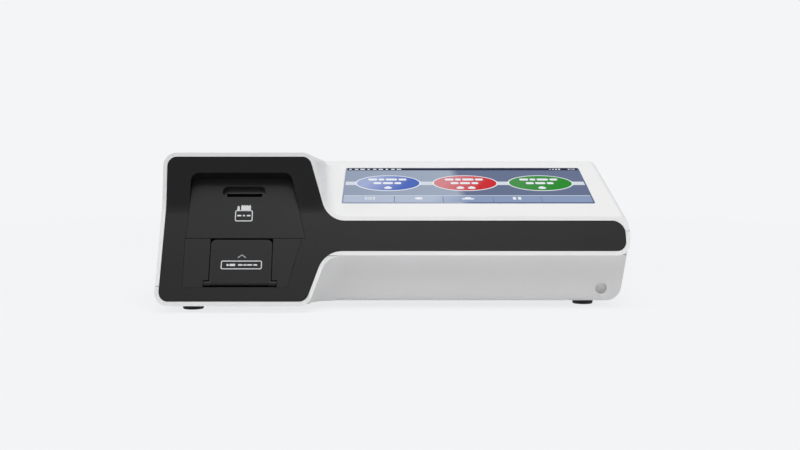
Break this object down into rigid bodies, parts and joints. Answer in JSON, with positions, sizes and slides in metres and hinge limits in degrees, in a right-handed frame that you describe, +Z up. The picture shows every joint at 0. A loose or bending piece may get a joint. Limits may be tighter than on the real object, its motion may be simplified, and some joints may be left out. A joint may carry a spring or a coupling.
{
  "type": "rapid test reader",
  "caption": "Bench-top reader for test cartridges with a tower front, motor tray behind a flap door, chip port, sloping touch screen and receipt printer.",
  "frame": {"origin": "on the table, under the middle of the housing's box", "axes": "+X to the right, -Y towards the user, +Z up"},
  "size_m": [0.2758, 0.22, 0.0905],
  "materials": {
    "white_plastic": "satin white moulding",
    "grey_white_plastic": "satin pale grey moulding",
    "black_plastic": "satin black moulding",
    "gloss_black": "gloss black",
    "screen_glass": "touch panel",
    "dark_metal": "black painted",
    "steel": "zinc plated sheet",
    "chrome": "plated pin",
    "aluminium": "milled",
    "anodised_black": "black anodised",
    "acetal": "natural acetal",
    "grey_tray": "dark grey moulding",
    "board_green": "solder mask",
    "chip_black": "moulded packages",
    "lens_glass": "lens",
    "foam": "black foam",
    "rubber": "black rubber",
    "paper": "thermal paper",
    "card_tube": "card tube",
    "brass": "plated"
  },
  "bodies": {
    "housing": {"base_shell": "grey_white_plastic", "top_shell": "white_plastic", "front_fascia": "black_plastic", "chip_panel": "black_plastic", "chip_port": "gloss_black", "chip_socket": "chip_black", "chip_board": "board_green", "door_surround": "black_plastic", "door_hinge_pin": "chrome", "tray_guide": "black_plastic", "home_sensor": "chip_black", "motor_bracket": "steel", "tray_motor": "dark_metal", "optics_block": "anodised_black", "optics_lens": "lens_glass", "detector_cap": "dark_metal", "lamp_module": "aluminium", "touch_glass": "screen_glass", "screen_gasket": "foam", "display_module": "dark_metal", "display_brackets": "steel", "lid_hinge_pin": "chrome", "print_gearbox": "chip_black", "print_head": "aluminium", "tear_bar": "steel", "paper_bucket": "grey_tray", "button_carrier": "grey_tray", "main_board": "board_green", "board_parts": "chip_black", "board_screws": "steel", "lan_socket": "steel", "usb_sockets": "steel", "serial_port": "steel", "serial_port_screws": "brass", "power_inlet": "gloss_black", "switch_housing": "gloss_black", "speaker": "dark_metal", "rubber_feet": "rubber", "case_screws": "steel"},
    "door": {"tray_door": "black_plastic"},
    "tray": {"cartridge_tray": "grey_tray", "tray_rack": "acetal"},
    "pinion": {"drive_pinion": "acetal", "pinion_shaft": "chrome"},
    "printer_lid": {"printer_lid": "white_plastic"},
    "platen": {"platen_roller": "rubber", "platen_shaft": "chrome", "platen_gear": "acetal"},
    "print_drive": {"print_drive_gear": "acetal"},
    "roll": {"paper_roll": "paper", "roll_core": "card_tube"},
    "release_button": {"release_button": "grey_tray"},
    "rocker": {"power_rocker": "gloss_black"}
  },
  "joints": [
    {"name": "tray_slide", "type": "slide", "parent": "housing", "child": "tray", "axis": [0, -1, 0], "range_m": [0, 0.09]},
    {"name": "tray_door_hinge", "type": "hinge", "parent": "housing", "child": "door", "pos_m": [-0.089, -0.10205, 0.01582], "axis": [1, 0, 0], "range_deg": [0, 120.01]},
    {"name": "pinion_spin", "type": "hinge", "parent": "housing", "child": "pinion", "pos_m": [-0.089, -0.03905, 0.01882], "axis": [1, 0, 0], "range_deg": [0, 859.45]},
    {"name": "printer_lid_hinge", "type": "hinge", "parent": "housing", "child": "printer_lid", "pos_m": [-0.091, 0.07686, 0.07474], "axis": [-1, 0, 0], "range_deg": [0, 85]},
    {"name": "platen_spin", "type": "hinge", "parent": "printer_lid", "child": "platen", "pos_m": [-0.091, 0.03486, 0.07361], "axis": [1, 0, 0], "continuous": true},
    {"name": "print_drive_spin", "type": "hinge", "parent": "housing", "child": "print_drive", "pos_m": [-0.091, 0.03402, 0.06224], "axis": [1, 0, 0], "continuous": true},
    {"name": "roll_spin", "type": "hinge", "parent": "housing", "child": "roll", "pos_m": [-0.091, 0.0552, 0.05838], "axis": [1, 0, 0], "continuous": true},
    {"name": "release_button_press", "type": "slide", "parent": "housing", "child": "release_button", "axis": [0, -0.0732, -0.9973], "range_m": [0, 0.0015], "stiffness_N_per_m": 400},
    {"name": "power_rocker_tilt", "type": "hinge", "parent": "housing", "child": "rocker", "pos_m": [-0.108, 0.106, 0.023], "axis": [0, 0, -1], "range_deg": [0, 16]}
  ],
  "couplings": [
    {"joint": "tray_door_hinge", "follows": "tray_slide", "rad_per_m": 23.271},
    {"joint": "pinion_spin", "follows": "tray_slide", "rad_per_m": 166.67},
    {"joint": "print_drive_spin", "follows": "platen_spin", "ratio": -0.9}
  ]
}
